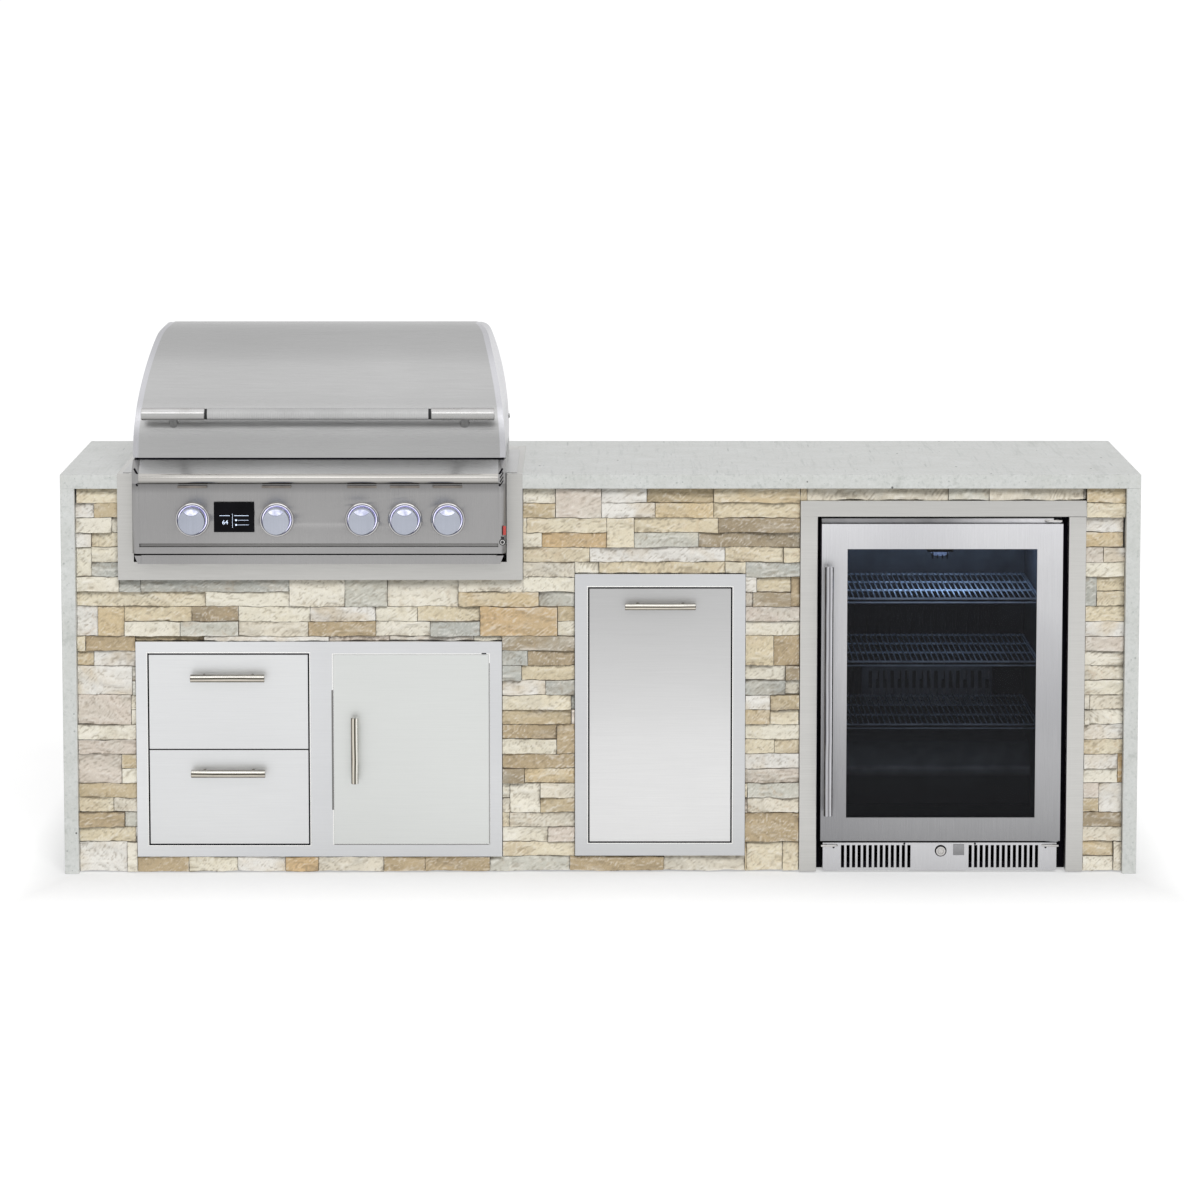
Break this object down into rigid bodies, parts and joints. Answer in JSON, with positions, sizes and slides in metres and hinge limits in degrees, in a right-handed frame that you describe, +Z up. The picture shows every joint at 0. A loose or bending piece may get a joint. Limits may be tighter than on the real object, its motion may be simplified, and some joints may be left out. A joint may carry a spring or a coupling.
{
  "type": "outdoor kitchen island",
  "caption": "Stone-clad outdoor kitchen island with a built-in gas grill, storage drawers and door, a bin pull-out and a glass-door refrigerator under a waterfall quartz top.",
  "frame": {"origin": "on the ground in the middle of the whole island's footprint, knobs and handles included", "axes": "+X along the island to the right as seen from the front, +Y to the back, +Z up"},
  "size_m": [2.438, 0.866, 1.2362],
  "materials": {
    "quartz": "polished light grey quartz with fine dark specks",
    "ledger_stone": "split-face stacked stone in cream, tan, gold and grey",
    "cement_board": "raw cement board",
    "galvanised_steel": "galvanised tube",
    "brushed_stainless": "fine brushed stainless steel",
    "burner_steel": "plain stainless sheet and bar",
    "polished_steel": "polished stainless bar",
    "knob_metal": "satin die-cast knob",
    "lamp_glass": "smoked lens over a row of lamps",
    "display_black": "black display window",
    "red_plastic": "red rocker",
    "zinc_steel": "zinc-plated steel",
    "bin_plastic": "moulded black plastic",
    "cabinet_black": "black enamelled liner and case",
    "shelf_wire": "plated wire",
    "door_glass": "tinted double glass",
    "gasket_rubber": "black magnetic gasket"
  },
  "bodies": {
    "island": {"base_frame": "galvanised_steel", "levelling_feet": "galvanised_steel", "backer_boards": "cement_board", "ledger_stones_front": "ledger_stone", "ledger_panels_back": "ledger_stone", "countertop": "quartz", "waterfall_sides": "quartz", "grill_jacket": "brushed_stainless", "firebox": "burner_steel", "control_panel": "brushed_stainless", "knob_bezels": "polished_steel", "panel_lamps": "lamp_glass", "temperature_display": "display_black", "gas_manifold": "burner_steel", "burners": "burner_steel", "flame_tamers": "burner_steel", "cooking_grates": "burner_steel", "warming_rack": "burner_steel", "access_frames": "brushed_stainless", "cabinet_sleeves": "brushed_stainless", "fridge_trim": "brushed_stainless", "fridge_cabinet": "cabinet_black", "fridge_compressor": "cabinet_black", "fridge_shelves": "shelf_wire", "fridge_fan_cover": "cabinet_black", "fridge_hinges": "zinc_steel", "toe_grille": "brushed_stainless"},
    "hood": {"hood_skin": "brushed_stainless", "hood_end_caps": "brushed_stainless", "hood_handle_bar": "polished_steel", "hood_handle_posts": "polished_steel"},
    "upper_drawer": {"drawer_upper": "brushed_stainless", "drawer_upper_handle": "polished_steel"},
    "lower_drawer": {"drawer_lower": "brushed_stainless", "drawer_lower_handle": "polished_steel"},
    "upper_middle_rails": {"middle_rails_upper": "zinc_steel"},
    "lower_middle_rails": {"middle_rails_lower": "zinc_steel"},
    "door": {"storage_door": "brushed_stainless", "storage_door_handle": "polished_steel"},
    "bin_pullout": {"trash_drawer": "brushed_stainless", "trash_handle": "polished_steel", "trash_bins": "bin_plastic"},
    "bin_middle_rails": {"middle_rails_trash": "zinc_steel"},
    "drip_pan": {"drip_tray": "brushed_stainless"},
    "switch_rocker": {"light_switch": "red_plastic"},
    "refrigerator_door": {"fridge_door_frame": "brushed_stainless", "fridge_glass": "door_glass", "fridge_gasket": "gasket_rubber", "fridge_handle": "polished_steel"},
    "door_lock": {"fridge_lock": "zinc_steel"},
    "stem_1": {"valve_stem_1": "polished_steel"},
    "dial_1": {"knob_1": "knob_metal"},
    "stem_2": {"valve_stem_2": "polished_steel"},
    "dial_2": {"knob_2": "knob_metal"},
    "stem_3": {"valve_stem_3": "polished_steel"},
    "dial_3": {"knob_3": "knob_metal"},
    "stem_4": {"valve_stem_4": "polished_steel"},
    "dial_4": {"knob_4": "knob_metal"},
    "stem_5": {"valve_stem_5": "polished_steel"},
    "dial_5": {"knob_5": "knob_metal"}
  },
  "joints": [
    {"name": "hood_hinge", "type": "hinge", "parent": "island", "child": "hood", "pos_m": [-0.633, 0.171, 1], "axis": [-1, 0, 0], "range_deg": [0, 80]},
    {"name": "upper_drawer_slide", "type": "slide", "parent": "island", "child": "upper_drawer", "axis": [0, -1, 0], "range_m": [0, 0.4]},
    {"name": "lower_drawer_slide", "type": "slide", "parent": "island", "child": "lower_drawer", "axis": [0, -1, 0], "range_m": [0, 0.4]},
    {"name": "upper_rails_slide", "type": "slide", "parent": "island", "child": "upper_middle_rails", "axis": [0, -1, 0], "range_m": [0, 0.2]},
    {"name": "lower_rails_slide", "type": "slide", "parent": "island", "child": "lower_middle_rails", "axis": [0, -1, 0], "range_m": [0, 0.2]},
    {"name": "door_hinge", "type": "hinge", "parent": "island", "child": "door", "pos_m": [-0.259, -0.311, 0.285], "axis": [0, 0, 1], "range_deg": [0, 100]},
    {"name": "bin_slide", "type": "slide", "parent": "island", "child": "bin_pullout", "axis": [0, -1, 0], "range_m": [0, 0.46]},
    {"name": "bin_rails_slide", "type": "slide", "parent": "island", "child": "bin_middle_rails", "axis": [0, -1, 0], "range_m": [0, 0.23]},
    {"name": "drip_pan_slide", "type": "slide", "parent": "island", "child": "drip_pan", "axis": [0, -1, 0], "range_m": [0, 0.38]},
    {"name": "refrigerator_door_hinge", "type": "hinge", "parent": "island", "child": "refrigerator_door", "pos_m": [1.033, -0.302, 0.438], "axis": [0, 0, 1], "range_deg": [0, 100]},
    {"name": "lock_turn", "type": "hinge", "parent": "island", "child": "door_lock", "pos_m": [0.775, -0.309, 0.05], "axis": [0, -1, 0], "range_deg": [0, 90]},
    {"name": "switch_rock", "type": "hinge", "parent": "island", "child": "switch_rocker", "pos_m": [-0.21725, -0.38775, 0.794], "axis": [0.7071, 0.7071, 0], "range_deg": [-8, 8]},
    {"name": "knob_1_push", "type": "slide", "parent": "island", "child": "stem_1", "axis": [0, 1, 0], "range_m": [0, 0.003], "stiffness_N_per_m": 800},
    {"name": "knob_1_turn", "type": "hinge", "parent": "stem_1", "child": "dial_1", "pos_m": [-0.916, -0.433, 0.819], "axis": [0, -1, 0], "range_deg": [0, 225]},
    {"name": "knob_2_push", "type": "slide", "parent": "island", "child": "stem_2", "axis": [0, 1, 0], "range_m": [0, 0.003], "stiffness_N_per_m": 800},
    {"name": "knob_2_turn", "type": "hinge", "parent": "stem_2", "child": "dial_2", "pos_m": [-0.727, -0.433, 0.819], "axis": [0, -1, 0], "range_deg": [0, 225]},
    {"name": "knob_3_push", "type": "slide", "parent": "island", "child": "stem_3", "axis": [0, 1, 0], "range_m": [0, 0.003], "stiffness_N_per_m": 800},
    {"name": "knob_3_turn", "type": "hinge", "parent": "stem_3", "child": "dial_3", "pos_m": [-0.535, -0.433, 0.819], "axis": [0, -1, 0], "range_deg": [0, 225]},
    {"name": "knob_4_push", "type": "slide", "parent": "island", "child": "stem_4", "axis": [0, 1, 0], "range_m": [0, 0.003], "stiffness_N_per_m": 800},
    {"name": "knob_4_turn", "type": "hinge", "parent": "stem_4", "child": "dial_4", "pos_m": [-0.439, -0.433, 0.819], "axis": [0, -1, 0], "range_deg": [0, 225]},
    {"name": "knob_5_push", "type": "slide", "parent": "island", "child": "stem_5", "axis": [0, 1, 0], "range_m": [0, 0.003], "stiffness_N_per_m": 800},
    {"name": "knob_5_turn", "type": "hinge", "parent": "stem_5", "child": "dial_5", "pos_m": [-0.343, -0.433, 0.819], "axis": [0, -1, 0], "range_deg": [0, 225]}
  ],
  "couplings": [
    {"joint": "upper_rails_slide", "follows": "upper_drawer_slide", "ratio": 0.5},
    {"joint": "lower_rails_slide", "follows": "lower_drawer_slide", "ratio": 0.5},
    {"joint": "bin_rails_slide", "follows": "bin_slide", "ratio": 0.5}
  ]
}
